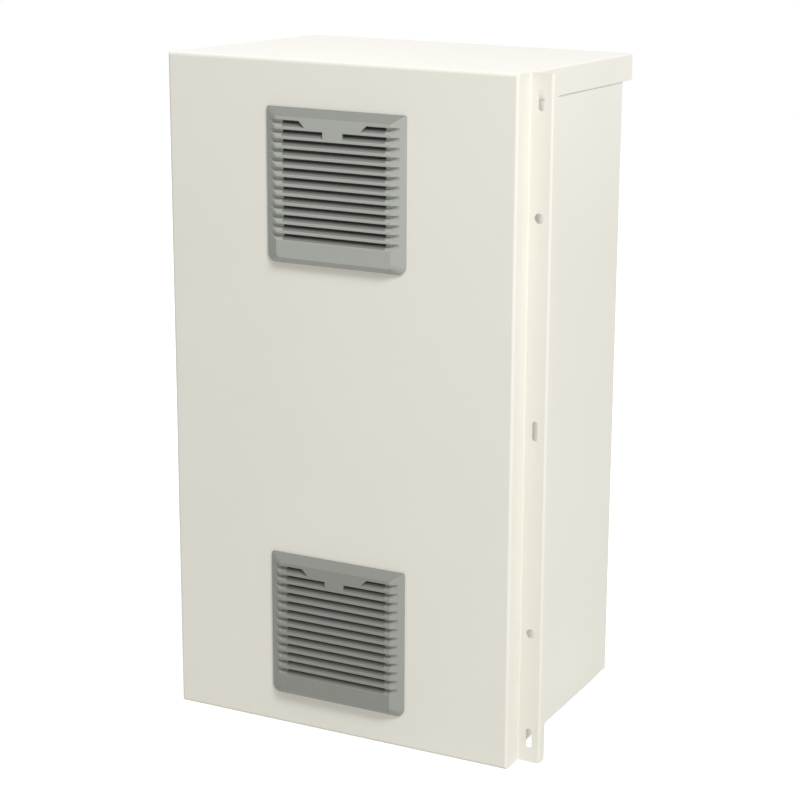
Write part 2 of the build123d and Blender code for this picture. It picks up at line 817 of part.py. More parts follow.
def vent_housing():
    outer = vent_cutout / 2 - housing_gap
    inner = outer - vent_wall
    duct_end = rear_face + vent_depth
    flange_back = rear_face - vent_foam
    half = vent_flange / 2
    window = vent_window / 2
    frame = block(-half, half, flange_front, flange_back, -half, half)
    frame += block(-outer, outer, flange_back, duct_end, -outer, outer)
    lip_end = flange_back + housing_lip
    frame -= block(-inner, inner, lip_end - sunk, duct_end - vent_wall, -inner, inner)
    frame -= block(-window, window, flange_front - past, lip_end, -window, window)
    frame -= rod_y(0, duct_end - vent_wall - past, duct_end + past, 0, vent_air_radius)
    grid_front = flange_front + filter_thickness + grid_gap
    for x in spread(grid_bars, vent_window / (grid_bars + 1)):
        frame += block(x - grid_bar / 2, x + grid_bar / 2, grid_front, grid_front + grid_bar, -inner, inner)
    frame += block(-inner, inner, grid_front, grid_front + grid_bar, -grid_bar / 2, grid_bar / 2)
    for side in (-1, 1):
        frame += clip(side, outer)
        frame += Rot(0, 90, 0) * clip(side, outer)
    for x in (-peg_offset, peg_offset):
        lug = block(x - peg_lug / 2, x + peg_lug / 2, flange_front, flange_back, -peg_drop, -half + sunk)
        lug += rod_x(x - peg_lug / 2, x + peg_lug / 2, peg_y, -peg_drop, lug_radius)
        frame += lug - rod_x(x - peg_lug, x + peg_lug, peg_y, -peg_drop, peg_radius + running_fit)
    return frame


def clip(side, outer):
    """A snap wedge on the duct that grips the panel from behind."""
    start = pan_inner + clip_gap
    points = [
        (side * (outer - sunk), start),
        (side * (outer + clip_rise), start),
        (side * outer, start + clip_length),
        (side * (outer - sunk), start + clip_length),
    ]
    wedge = make_face(Polyline(*points, close=True))
    return extrude(Plane.XY * wedge, clip_width / 2, both=True)


cover_solid = vent_cover()
housing_solid = vent_housing()
mat_half = vent_window / 2 - filter_gap
mat_front = flange_front + filter_gap
mat_solid = block(-mat_half, mat_half, mat_front, mat_front + filter_thickness, -mat_half, mat_half)
foam_half = vent_flange / 2
foam_hole = vent_cutout / 2
foam_front = rear_face - vent_foam
vent_foam_solid = block(-foam_half, foam_half, foam_front, rear_face, -foam_half, foam_half)
vent_foam_solid -= block(-foam_hole, foam_hole, foam_front - past, rear_face + past, -foam_hole, foam_hole)
for name, level in (("upper", vent_upper_height), ("lower", vent_lower_height)):
    place = Pos(0, 0, level)
    save("vent_cover_" + name, place * cover_solid)
    save("vent_housing_" + name, place * housing_solid)
    save("filter_mat_" + name, place * mat_solid)
    save("vent_seal_" + name, place * vent_foam_solid)

# Axial fan on the back of the lower vent
fan_start = rear_face + vent_depth
fan_end = fan_start + fan_depth
fan_level = vent_lower_height
motor_start = fan_end - fan_motor_depth
fan_body = rod_y(0, fan_start, fan_end, fan_level, fan_outer_radius)
ear_end = fan_bolt_radius + fan_ear / 2
ear_back = fan_start + fan_ear_thickness
tab = block(fan_outer_radius - fan_ear_root, ear_end, fan_start, ear_back, -fan_ear / 2, fan_ear / 2)
tab -= rod_y(fan_bolt_radius, fan_start - past, ear_back + past, 0, fan_screw_radius)
for angle in fan_ear_angles:
    fan_body += Pos(0, 0, fan_level) * Rot(0, angle, 0) * tab
fan_body -= rod_y(0, fan_start - past, fan_end + past, fan_level, fan_inner_radius)
for index in range(fan_struts):
    turn = Pos(0, 0, fan_level) * Rot(0, 360 / fan_struts * index, 0)
    strut = block(
        fan_motor_radius - fan_strut_root,
        (fan_inner_radius + fan_outer_radius) / 2,
        fan_end - fan_strut_thickness,
        fan_end,
        -fan_strut_width / 2,
        fan_strut_width / 2,
    )
    fan_body += turn * strut
fan_body += rod_y(0, motor_start, fan_end, fan_level, fan_motor_radius)
bearing_end = fan_end - fan_motor_wall
fan_body -= rod_y(0, motor_start - past, bearing_end, fan_level, fan_shaft_radius + running_fit)
save("fan_frame", fan_body)

hub_front = fan_start + fan_hub_gap
hub_back = motor_start - fan_motor_gap
hub = rod_y(0, hub_front, hub_back, fan_level, fan_hub_radius)
hub = fillet(hub.faces().sort_by(Axis.Y)[0].edges(), fan_hub_round)
hub += rod_y(0, hub_back - sunk, bearing_end - fan_shaft_gap, fan_level, fan_shaft_radius)
blade_tip = fan_inner_radius - fan_tip_gap
half_chord = blade_chord / 2
arc = ThreePointArc((-half_chord, 0), (0, blade_camber), (half_chord, 0))
section = Rot(0, 0, blade_angle) * trace(arc, line_width=blade_thickness)
section = Plane.YZ.offset(fan_hub_radius - blade_root) * section
blade = extrude(section, blade_tip)
ring_space = rod_y(0, -blade_chord, blade_chord, 0, blade_tip)
blade_mid = (hub_front + hub_back) / 2
blade = (blade & ring_space).solid()
for index in range(fan_blades):
    hub += Pos(0, blade_mid, fan_level) * Rot(0, 360 / fan_blades * index, 0) * blade
save("fan_impeller", hub)

fan_screws = []
for angle in fan_ear_angles:
    x = fan_bolt_radius * math.cos(math.radians(angle))
    z = fan_level + fan_bolt_radius * math.sin(math.radians(angle))
    screw = rod_y(x, fan_start, ear_back, z, fan_screw_radius)
    fan_screws.append(screw + rod_y(x, ear_back, ear_back + fan_screw_head, z, fan_screw_head_radius))
save("fan_screws", *fan_screws)


# Rack rails with square holes, on two side members each
rail_front = door_face - rail_setback
rail_outer = rack_opening / 2 + rail_face


def rack_rail():
    rail = block(rack_opening / 2, rail_outer, rail_front - sheet, rail_front, rail_bottom, rail_top)
    rail += block(rail_outer - sheet, rail_outer, rail_front - rail_web, rail_front, rail_bottom, rail_top)
    middle_level = (rail_bottom + rail_top) / 2
    cuts = []
    for level in spread(rack_units, rack_unit):
        for offset in (-rack_hole_offset, 0, rack_hole_offset):
            z = middle_level + level + offset
            half = rack_hole / 2
            cuts.append(
                block(
                    rack_hole_line - half,
                    rack_hole_line + half,
                    rail_front - sheet - past,
                    rail_front + past,
                    z - half,
                    z + half,
                )
            )
    return rail - cuts


rail_right = rack_rail()
save("rack_rail_right", rail_right)
save("rack_rail_left", mirror(rail_right, Plane.YZ))

member_end = rail_front - sheet
member_start = shell_rear + sheet + member_rear_gap
rail_bolts = []
for side, side_name in ((-1, "left"), (1, "right")):
    for level, level_name in ((member_lower, "lower"), (member_upper, "upper")):
        inner = side * rail_outer
        outer = side * wall_inner
        top = level + sheet
        member = block(inner, outer, member_start, member_end, level, top)
        member += block(inner, inner + side * sheet, member_start, member_end, level - member_drop, top)
        member += block(outer - side * sheet, outer, member_start, member_end, level - member_drop, top)
        save("side_member_" + side_name + "_" + level_name, member)
        for inset in rail_bolt_places:
            z = level - member_drop / 2
            seat = inner - side * sheet
            head = seat - side * rail_bolt_head
            rail_bolts.append(rod_x(seat, head, member_end - inset, z, rail_bolt_radius))
save("rail_bolts", *rail_bolts)

# Earth bar on the left wall
bar_wall = -wall_inner
post_end = bar_wall + earth_bar_stand_off
bar_end = post_end + earth_bar_thickness
bar_half = earth_bar_length / 2
bar_low = earth_bar_level - earth_bar_height / 2
bar_high = earth_bar_level + earth_bar_height / 2
bar = block(post_end, bar_end, -bar_half, bar_half, bar_low, bar_high)
screw_places = spread(earth_screws, earth_screw_pitch)
for y in screw_places:
    bar -= rod_x(post_end - past, bar_end + past, y, earth_bar_level, earth_screw_radius)
save("earth_bar", bar)
post_y = bar_half - earth_post_margin
posts = [rod_x(bar_wall, post_end, y, earth_bar_level, earth_post_radius) for y in (-post_y, post_y)]
save("earth_bar_posts", *posts)
clamps = []
for y in screw_places:
    shaft = rod_x(bar_end - earth_screw_depth, bar_end, y, earth_bar_level, earth_screw_radius)
    head_end = bar_end + earth_screw_head
    clamps.append(shaft + rod_x(bar_end, head_end, y, earth_bar_level, earth_screw_head_radius))
save("earth_bar_screws", *clamps)
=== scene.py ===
# %% [markdown]
# A roadside utility cabinet
#
# The real object is a box of folded steel sheet. A vented panel closes its back, a rain hood caps
# its roof, and a door hangs on the far side. Almost every form is sheet metal, so it comes ready
# made as fixed pieces. What is left for this lesson is the finish of each surface, the small
# things that a workshop buys in, such as screws, foam and filter fleece, and the light.

# %% Load the fixed pieces
import json
import math

import bmesh
import bpy
from mathutils import Matrix, Vector


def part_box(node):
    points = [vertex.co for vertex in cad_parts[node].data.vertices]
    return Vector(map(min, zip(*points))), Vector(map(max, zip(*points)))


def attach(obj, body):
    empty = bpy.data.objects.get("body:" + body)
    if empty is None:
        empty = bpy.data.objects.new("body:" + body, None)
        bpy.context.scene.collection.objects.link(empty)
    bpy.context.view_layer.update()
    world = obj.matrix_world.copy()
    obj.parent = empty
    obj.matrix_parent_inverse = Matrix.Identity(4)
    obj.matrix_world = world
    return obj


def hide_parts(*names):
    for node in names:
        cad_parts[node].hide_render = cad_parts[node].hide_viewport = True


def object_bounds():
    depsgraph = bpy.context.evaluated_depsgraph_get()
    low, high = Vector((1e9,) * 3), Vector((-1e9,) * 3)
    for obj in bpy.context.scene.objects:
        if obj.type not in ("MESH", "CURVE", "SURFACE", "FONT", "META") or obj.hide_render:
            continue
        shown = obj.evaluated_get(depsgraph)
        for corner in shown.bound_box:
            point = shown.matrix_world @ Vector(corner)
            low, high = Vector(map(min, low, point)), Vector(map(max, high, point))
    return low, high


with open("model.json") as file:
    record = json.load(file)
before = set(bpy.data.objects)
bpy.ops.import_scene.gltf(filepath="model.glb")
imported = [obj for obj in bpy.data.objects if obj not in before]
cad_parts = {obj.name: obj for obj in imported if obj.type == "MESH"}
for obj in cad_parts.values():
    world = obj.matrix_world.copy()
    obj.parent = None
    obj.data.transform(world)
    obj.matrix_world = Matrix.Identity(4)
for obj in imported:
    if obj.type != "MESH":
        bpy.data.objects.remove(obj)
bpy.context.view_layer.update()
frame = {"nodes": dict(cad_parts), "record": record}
bpy.ops.object.select_all(action="DESELECT")
MM = 0.001

# %% [markdown]
# Colours are written as a paint shop would give them, as sRGB hex values. The shader works in
# linear light, so one function turns each value over. Patterns are sized in real millimetres:
# the object's coordinates are metres, so a pattern that repeats every few millimetres has a
# scale of one over that length.

# %% Colour and scale


def linear(hex_colour):
    """An sRGB hex value as linear red, green, blue and alpha, with the numbers of that standard."""
    channels = [int(hex_colour[i:i + 2], 16) / 255 for i in (1, 3, 5)]
    low = [c / 12.92 if c <= 0.04045 else ((c + 0.055) / 1.055) ** 2.4 for c in channels]
    return (*low, 1.0)


def per_mm(size):
    """The texture scale at which a pattern's features are this many millimetres apart."""
    return 1 / (size * MM)


print("a mid grey in linear light", round(linear("#808080")[0], 3))

# %% [markdown]
# A material is a chain of nodes. One small function adds any node, sets its options and fills its
# inputs with values or links, so a material below reads as a list of what it is made of. Adding
# the nodes by hand in the editor gives the same chain, but a script can be read and changed.

# %% Nodes and materials


def add_node(tree, kind, inputs=None, **settings):
    """Adds a node, sets its options, and fills its inputs with values or links."""
    made = tree.nodes.new(kind)
    for name, value in settings.items():
        setattr(made, name, value)
    for name, value in (inputs or {}).items():
        if isinstance(value, bpy.types.NodeSocket):
            tree.links.new(value, made.inputs[name])
        else:
            made.inputs[name].default_value = value
    return made


def new_material(name, colour, roughness, metallic=0.0, ior=1.5):
    """A material with one shader, and the coordinates that its patterns read."""
    material = bpy.data.materials.new(name)
    material.use_nodes = True
    tree = material.node_tree
    shader = tree.nodes["Principled BSDF"]
    shader.inputs["Base Color"].default_value = linear(colour)
    shader.inputs["Roughness"].default_value = roughness
    shader.inputs["Metallic"].default_value = metallic
    shader.inputs["IOR"].default_value = ior
    material.diffuse_color = linear(colour)
    where = add_node(tree, "ShaderNodeTexCoord").outputs["Object"]
    return material, tree, shader, where


finishes = {}

# %% [markdown]
# Three things make a surface look made rather than drawn: its colour drifts a little, its polish
# is uneven, and it isn't quite flat. Each is a soft random pattern that drives one input of the
# shader. The same chain could be written out in every material, but only its size, its strength
# and its two ends differ, so each effect is one function.

# %% Drifting colour, uneven polish and fine relief


def drifting_colour(tree, where, size, first, second, detail=2.0):
    """A colour that drifts between two tones, in blotches this many millimetres apart."""
    pattern = {"Vector": where, "Scale": per_mm(size), "Detail": detail}
    blotches = add_node(tree, "ShaderNodeTexNoise", pattern).outputs["Fac"]
    blend = {"Factor": blotches, "A": linear(first), "B": linear(second)}
    return add_node(tree, "ShaderNodeMix", blend, data_type="RGBA").outputs["Result"]


def uneven_polish(tree, shader, where, size, smoothest, roughest, detail=2.0):
    """Lets the roughness drift between two values, in blotches this many millimetres apart."""
    pattern = {"Vector": where, "Scale": per_mm(size), "Detail": detail}
    blotches = add_node(tree, "ShaderNodeTexNoise", pattern).outputs["Fac"]
    spread = {"Value": blotches, "To Min": smoothest, "To Max": roughest}
    polish = add_node(tree, "ShaderNodeMapRange", spread).outputs["Result"]
    tree.links.new(polish, shader.inputs["Roughness"])


def fine_relief(tree, shader, where, size, depth, detail=2.0):
    """Raises soft grains, this many millimetres apart and this many millimetres high."""
    pattern = {"Vector": where, "Scale": per_mm(size), "Detail": detail}
    grains = add_node(tree, "ShaderNodeTexNoise", pattern).outputs["Fac"]
    raised = {"Height": grains, "Distance": depth * MM, "Strength": 1.0}
    bump = add_node(tree, "ShaderNodeBump", raised).outputs["Normal"]
    tree.links.new(bump, shader.inputs["Normal"])


print("surface effects ready")

# %% [markdown]
# The whole shell is polyester powder coat, a pale warm white. Powder flows as it bakes and stops
# just short of flat, which leaves the fine ripple that painters call orange peel. A broad, faint
# change of tone keeps the large faces from looking like paper. A photograph of the surface would
# do the same, but it would need unwrapping, and noise on object coordinates has no seams.

# %% Powder coat on the shell
shell_paint, tree, shader, where = new_material("powder_coat_warm_white", "#EBE8DE", roughness=0.34)
# To the eye: a pale, even face with a wide, soft highlight and no clear reflection.
tone = drifting_colour(tree, where, 180, "#E9E6DB", "#EDEAE1", detail=3)
tree.links.new(tone, shader.inputs["Base Color"])
# The ripple of real powder coat is about 2 mm across, and 3 mm shows at this distance.
fine_relief(tree, shader, where, size=3.0, depth=0.02, detail=1)
uneven_polish(tree, shader, where, size=25, smoothest=0.30, roughest=0.38)
finishes["shell_paint"] = shell_paint
print("shell finish", shell_paint.name)

# %% [markdown]
# Parts that hardly show from outside stay in galvanised steel. Zinc freezes into crystals, and
# each one catches the light its own way. Voronoi cells give that spangle: one random value for
# each cell sets both how dark and how rough it is. Noise would give clouds without edges, and
# the edges between crystals are what tells dipped zinc from paint.

# %% Galvanised and zinc-plated steel


def zinc_spangle(name, dark, light, size, smoothest, roughest):
    """Zinc crystals, this many millimetres across, each with its own tone and polish."""
    material, tree, shader, where = new_material(name, light, roughest, metallic=1.0)
    cells = add_node(tree, "ShaderNodeTexVoronoi", {"Vector": where, "Scale": per_mm(size)})
    split = add_node(tree, "ShaderNodeSeparateColor", {"Color": cells.outputs["Color"]})
    crystal = split.outputs["Red"]
    blend = {"Factor": crystal, "A": linear(dark), "B": linear(light)}
    tone = add_node(tree, "ShaderNodeMix", blend, data_type="RGBA").outputs["Result"]
    spread = {"Value": crystal, "To Min": smoothest, "To Max": roughest}
    polish = add_node(tree, "ShaderNodeMapRange", spread).outputs["Result"]
    tree.links.new(tone, shader.inputs["Base Color"])
    tree.links.new(polish, shader.inputs["Roughness"])
    fine_relief(tree, shader, where, size=6, depth=0.03)
    return material


# To the eye: a cool grey patchwork, where each crystal flashes at its own angle.
finishes["galvanised_steel"] = zinc_spangle(
    "hot_dip_galvanised_steel", "#A4A8AA", "#C3C6C7", size=9, smoothest=0.34, roughest=0.52
)
# To the eye: plating has crystals too fine to see, so a screw is bright and only a little cloudy.
finishes["zinc_fastener"] = zinc_spangle(
    "zinc_plated_steel", "#B8B7AF", "#CBCAC4", size=1.2, smoothest=0.24, roughest=0.36
)
print("zinc finishes", [finishes[slot].name for slot in ("galvanised_steel", "zinc_fastener")])

# %% [markdown]
# The hinge pins and the spindle are turned steel, and keep the marks of the tool as rings. Waves
# along one axis give such rings, and a little noise bends them, because no tool runs perfectly
# true. Rings could be cut into the mesh, but they are far too fine for that. The cams are stamped,
# but so small and hidden that they share this finish.

# %% Turned steel
turned_steel, tree, shader, where = new_material(
    "turned_zinc_plated_steel", "#BDBDB8", roughness=0.3, metallic=1.0
)
# To the eye: a bright streak along the pin, broken up by faint rings.
# A wave repeats every 2 pi / 20 of its scaled length, so 20 mm here puts the rings about 6 mm
# apart. Real tool marks are near 0.1 mm, too fine to show, so they are drawn that coarse.
ring_pattern = {"Vector": where, "Scale": per_mm(20), "Distortion": 1.2, "Detail": 2.0}
rings = add_node(tree, "ShaderNodeTexWave", ring_pattern, bands_direction="Z").outputs["Fac"]
raised = {"Height": rings, "Distance": 0.01 * MM, "Strength": 1.0}
bump = add_node(tree, "ShaderNodeBump", raised).outputs["Normal"]
tree.links.new(bump, shader.inputs["Normal"])
uneven_polish(tree, shader, where, size=2, smoothest=0.26, roughest=0.38)
finishes["turned_steel"] = turned_steel
print("turned finish", turned_steel.name)

# %% [markdown]
# The cores of the two latches, which take the key, are zinc castings with a nickel plate. Plating
# copies the casting under it, so a soft swell of the cast skin shows in the highlights. It is
# drawn as relief on a smooth metal. A mirror-smooth metal would be simpler, but it would look
# like chrome.

# %% Nickel-plated casting
nickel, tree, shader, where = new_material(
    "nickel_plated_zinc_casting", "#C9C5BC", roughness=0.2, metallic=1.0
)
# To the eye: a warm, bright metal whose reflections wobble a little.
uneven_polish(tree, shader, where, size=4, smoothest=0.16, roughest=0.28, detail=4)
fine_relief(tree, shader, where, size=1.5, depth=0.01)
finishes["zinc_casting"] = nickel
print("plated finish", nickel.name)

# %% [markdown]
# The hinges are cast in zinc and powder coated to match the shell. On a small casting the powder
# lies thicker and duller than on flat sheet, so they get a rougher coat with a finer ripple. The
# shell's own paint would do, but then hinge and door would melt into one another.

# %% Powder-coated hinges
hinge_paint, tree, shader, where = new_material(
    "powder_coated_zinc_hinge", "#E6E3D8", roughness=0.45
)
# To the eye: the shell's colour, a shade duller and with no highlight.
fine_relief(tree, shader, where, size=2.0, depth=0.02)
uneven_polish(tree, shader, where, size=12, smoothest=0.4, roughest=0.5)
finishes["hinge_casting"] = hinge_paint
print("hinge finish", hinge_paint.name)

# %% [markdown]
# The door lever, its plate and the latch bezels are coated in satin black, and so is the cast
# frame of the fan. The coat is thin, so the sandy skin of the casting shows through as fine
# grains. The frame is another metal under the same coat, so its material is a copy of the first
# with a name of its own.

# %% Satin black coat
black_coat, tree, shader, where = new_material(
    "satin_black_coated_zinc", "#1D1D1E", roughness=0.38
)
# To the eye: a deep black with soft, slightly sandy highlights along the edges.
tone = drifting_colour(tree, where, 15, "#1A1A1B", "#212122")
tree.links.new(tone, shader.inputs["Base Color"])
fine_relief(tree, shader, where, size=1.2, depth=0.02, detail=3)
uneven_polish(tree, shader, where, size=8, smoothest=0.33, roughest=0.45)
finishes["handle_casting"] = black_coat
finishes["fan_casting"] = black_coat.copy()
finishes["fan_casting"].name = "black_coated_die_cast_aluminium"
print("black finishes", black_coat.name, finishes["fan_casting"].name)

# %% [markdown]
# A louvred cover is coloured in zones. The louvres get painted shade, as if their recesses lay
# in shadow, and the upper ledge of the rim is painted darker, as shade too. The rest of the rim
# gets painted light or shade: a tone lighter or darker than the face. The zones could be painted
# on an unwrapped mesh, but a cover is plain enough to find each one by its coordinates. The
# covers face -Y, so a point's depth behind the front plane is its Y, and X and Z say how far it
# is from the cover's middle.

# %% Zones of a louvred cover
vent_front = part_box("vent_cover_upper")[0][1]
slot_half_width = 95 * MM
louvres_half_height = 112 * MM
cover_half = 128 * MM
face_half_width = 106 * MM
face_top = 114 * MM
face_foot = -118 * MM
# How far behind the front a point starts to get the louvres' painted shade, and where that shade is
# full.
painted_shade_from = 0.4 * MM
painted_shade_full = 1.8 * MM


def cover_reaches(tree, where, cover):
    """How deep a point lies in the louvres, and how far it is out along each bevel of a cover."""
    lowest, highest = (corner[2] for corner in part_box(cover))
    centring = {"Vector": where, "Location": (0, 0, -(lowest + highest) / 2)}
    centred = add_node(tree, "ShaderNodeMapping", centring).outputs["Vector"]
    place = add_node(tree, "ShaderNodeSeparateXYZ", {"Vector": centred}).outputs
    across = add_node(tree, "ShaderNodeMath", {0: place["X"]}, operation="ABSOLUTE")
    upright = add_node(tree, "ShaderNodeMath", {0: place["Z"]}, operation="ABSOLUTE")
    across, upright = across.outputs["Value"], upright.outputs["Value"]
    reaches = {}
    for side, value, start, full in (
        ("louvres", place["Y"], vent_front + painted_shade_from, vent_front + painted_shade_full),
        ("side", across, face_half_width, cover_half),
        ("foot", place["Z"], face_foot, -cover_half),
        ("top", place["Z"], face_top, cover_half),
    ):
        reach = {"Value": value, "From Min": start, "From Max": full}
        clamped = side == "louvres"
        reach = add_node(tree, "ShaderNodeMapRange", reach, clamp=clamped)
        reaches[side] = reach.outputs["Result"]
    return reaches, across, upright


print("covers face -Y at", round(vent_front / MM, 2), "mm")

# %% [markdown]
# The zones come out of those numbers as masks. The louvres' painted shade lies where a point is deep
# and inside the slotted part of the face. The rim is all that is out on a bevel, and the ledge is the
# part of it where the top bevel reaches furthest. A straight cut across would be simpler, but
# comparing the bevels with each other makes the border between two tones follow the mitre.

# %% Masks of a louvred cover


def painted_louvre_shade_mask(tree, depth, across, upright):
    """Where the louvres get painted shade: deep in them, and inside the slotted part of the face."""
    painted_louvre_shade = depth
    for value, half in ((across, slot_half_width), (upright, louvres_half_height)):
        inside = add_node(tree, "ShaderNodeMath", {0: value, 1: half}, operation="LESS_THAN")
        both = {0: painted_louvre_shade, 1: inside.outputs["Value"]}
        painted_louvre_shade = add_node(tree, "ShaderNodeMath", both, operation="MULTIPLY").outputs["Value"]
    return painted_louvre_shade


def rim_masks(tree, reaches):
    """Where the rim is, and which part of it is the upper ledge.

    Each bevel runs from 0 at the face to 1 at the outer edge, so two of them are equal on the
    mitre between them.
    """
    pair = {0: reaches["side"], 1: reaches["foot"]}
    lower_three = add_node(tree, "ShaderNodeMath", pair, operation="MAXIMUM").outputs["Value"]
    pair = {0: reaches["top"], 1: lower_three}
    furthest = add_node(tree, "ShaderNodeMath", pair, operation="MAXIMUM").outputs["Value"]
    on_ledge = add_node(tree, "ShaderNodeMath", pair, operation="GREATER_THAN").outputs["Value"]
    past_face = {0: furthest, 1: 0.0}
    off_face = add_node(tree, "ShaderNodeMath", past_face, operation="GREATER_THAN")
    return off_face.outputs["Value"], on_ledge


print("masks ready for dust, rim and ledge")

# %% [markdown]
# The louvred covers are moulded ABS. The tool's face is spark eroded, so the plastic comes out
# with a dull, sandy skin. The colour is a mid grey with a touch of green, and the lower cover is
# a shade darker than the upper one. The painted shade of the louvres and the two painted rim tones
# of light and shade are laid over the plain grey in turn, each through its own zone, so that one
# material serves a whole cover.

# %% Moulded vent plastic


def moulded_abs(name, cover, face, shade, painted_louvre_shade_tone, rim, ledge):
    """Grey ABS for one cover, with painted shade in the louvres and painted light and shade on the
    rim and the ledge.
    """
    material, tree, shader, where = new_material(name, face, roughness=0.6, ior=1.53)
    reaches, across, upright = cover_reaches(tree, where, cover)
    painted_louvre_shade = painted_louvre_shade_mask(tree, reaches["louvres"], across, upright)
    off_face, on_ledge = rim_masks(tree, reaches)
    # The rim and ledge tones are painted light and shade: the ledge is painted darker than the face,
    # and the rest of the rim lighter or darker than it.
    rim_blend = {"Factor": on_ledge, "A": linear(rim), "B": linear(ledge)}
    painted_rim_light_and_shade = add_node(tree, "ShaderNodeMix", rim_blend, data_type="RGBA").outputs["Result"]
    colour = drifting_colour(tree, where, 30, face, shade)
    # The louvres' painted shade is laid on first, then the painted rim and ledge tones.
    for mask, tone in ((painted_louvre_shade, linear(painted_louvre_shade_tone)), (off_face, painted_rim_light_and_shade)):
        blend = {"Factor": mask, "A": colour, "B": tone}
        colour = add_node(tree, "ShaderNodeMix", blend, data_type="RGBA").outputs["Result"]
    tree.links.new(colour, shader.inputs["Base Color"])
    # Spark erosion leaves grains of about 0.1 mm, drawn at 0.8 mm so that they show.
    fine_relief(tree, shader, where, size=0.8, depth=0.03, detail=3)
    uneven_polish(tree, shader, where, size=5, smoothest=0.54, roughest=0.66)
    return material


# To the eye: a dull, even grey without a clear reflection, darker between the louvres by painted
# shade.
# Upper cover: painted shade in the louvres and on the ledge, and a rim painted a little darker than
# the face.
finishes["vent_plastic"] = moulded_abs(
    "moulded_grey_abs", "vent_cover_upper",
    face="#ABADA7", shade="#A7A9A3", painted_louvre_shade_tone="#7D7E79", rim="#A4A6A0", ledge="#8C8E88",
)
# Lower cover: painted shade in the louvres and on the ledge, and a rim painted lighter than the face,
# as painted light.
darker_abs = moulded_abs(
    "moulded_darker_grey_abs", "vent_cover_lower",
    face="#8F908A", shade="#8B8C86", painted_louvre_shade_tone="#72736E", rim="#9A9B95", ledge="#8A8B85",
)
print("vent plastics", finishes["vent_plastic"].name, darker_abs.name)

# %% [markdown]
# The fan's blades and hub are moulded polyamide, filled with glass so that they stay stiff. The
# glass comes up to the skin and makes it dull and a little streaky. A plain black would read as
# a hole in this dark place, so the grain and the uneven polish matter more than the colour.

# %% Fan plastic
fan_plastic, tree, shader, where = new_material(
    "glass_filled_black_polyamide", "#202122", roughness=0.5, ior=1.53
)
# To the eye: a soft black with dull, broken highlights. Glass fibres of 0.01 mm are drawn coarse.
fine_relief(tree, shader, where, size=0.9, depth=0.02)
uneven_polish(tree, shader, where, size=6, smoothest=0.44, roughest=0.58)
finishes["fan_plastic"] = fan_plastic
print("fan plastic", fan_plastic.name)

# %% [markdown]
# Seals are foamed rubber, with open pores and almost no shine, and the plugs are moulded rubber.
# Both are matt, so their look is all in the relief. Voronoi cells have a round dip at each point,
# which noise doesn't, so they make the pores.

# %% Foam and rubber
polish_patch = 4
polish_drift = 0.08


def porous(name, colour, pore, depth, roughness):
    """Rubber with round pores, this many millimetres apart and deep."""
    material, tree, shader, where = new_material(name, colour, roughness, ior=1.45)
    pores = add_node(tree, "ShaderNodeTexVoronoi", {"Vector": where, "Scale": per_mm(pore)})
    pits = {"Height": pores.outputs["Distance"], "Distance": depth * MM, "Strength": 1.0}
    bump = add_node(tree, "ShaderNodeBump", pits).outputs["Normal"]
    tree.links.new(bump, shader.inputs["Normal"])
    uneven_polish(tree, shader, where, pore * polish_patch, roughness - polish_drift, roughness)
    return material


# To the eye: the foam is a flat, light-eating black.
finishes["seal_foam"] = porous(
    "foamed_black_sealing_strip", "#222221", pore=1.2, depth=0.25, roughness=0.92
)
# To the eye: the solid rubber is as black, with a faint sheen on its rounded edges.
finishes["plug_rubber"] = porous(
    "moulded_black_rubber", "#262625", pore=2.5, depth=0.03, roughness=0.7
)
print("rubber finishes", [finishes[slot].name for slot in ("seal_foam", "plug_rubber")])

# %% [markdown]
# The filter is needled fleece, a felt of loose fibres that lie mostly one way. Real fibres would
# be thousands of hairs, for a piece that is seen through slots. Noise that is stretched along one
# direction and turned a little gives the same tangle, and it drives both the colour and the relief.

# %% Filter fleece
fibre_stretch = (0.25, 1.0, 1.0)
fibre_turn = 0.5
fleece, tree, shader, where = new_material(
    "needled_grey_filter_fleece", "#5F615D", roughness=0.95, ior=1.4
)
# To the eye: a soft grey felt without any highlight. Fibres of 0.05 mm are drawn at 0.9 mm.
lie = {"Vector": where, "Scale": fibre_stretch, "Rotation": (0, fibre_turn, 0)}
lying = add_node(tree, "ShaderNodeMapping", lie).outputs["Vector"]
tangle = {"Vector": lying, "Scale": per_mm(0.9), "Detail": 5.0, "Roughness": 0.7}
fibres = add_node(tree, "ShaderNodeTexNoise", tangle).outputs["Fac"]
blend = {"Factor": fibres, "A": linear("#4C4E4A"), "B": linear("#6D6F6A")}
tone = add_node(tree, "ShaderNodeMix", blend, data_type="RGBA").outputs["Result"]
raised = {"Height": fibres, "Distance": 0.6 * MM, "Strength": 1.0}
bump = add_node(tree, "ShaderNodeBump", raised).outputs["Normal"]
tree.links.new(tone, shader.inputs["Base Color"])
tree.links.new(bump, shader.inputs["Normal"])
shader.inputs["Sheen Weight"].default_value = 0.2
finishes["filter_fleece"] = fleece
print("filter finish", fleece.name)

# %% [markdown]
# The earth bar is bare rolled copper. Bare copper dulls in a few weeks, so its colour drifts
# between bright and brown, and the brown parts are rougher. One pattern drives both, because on
# the real bar they are the same stain. Two patterns would put shine on the brown parts.

# %% Bare copper
copper, tree, shader, where = new_material(
    "rolled_bare_copper", "#C07A55", roughness=0.32, metallic=1.0
)
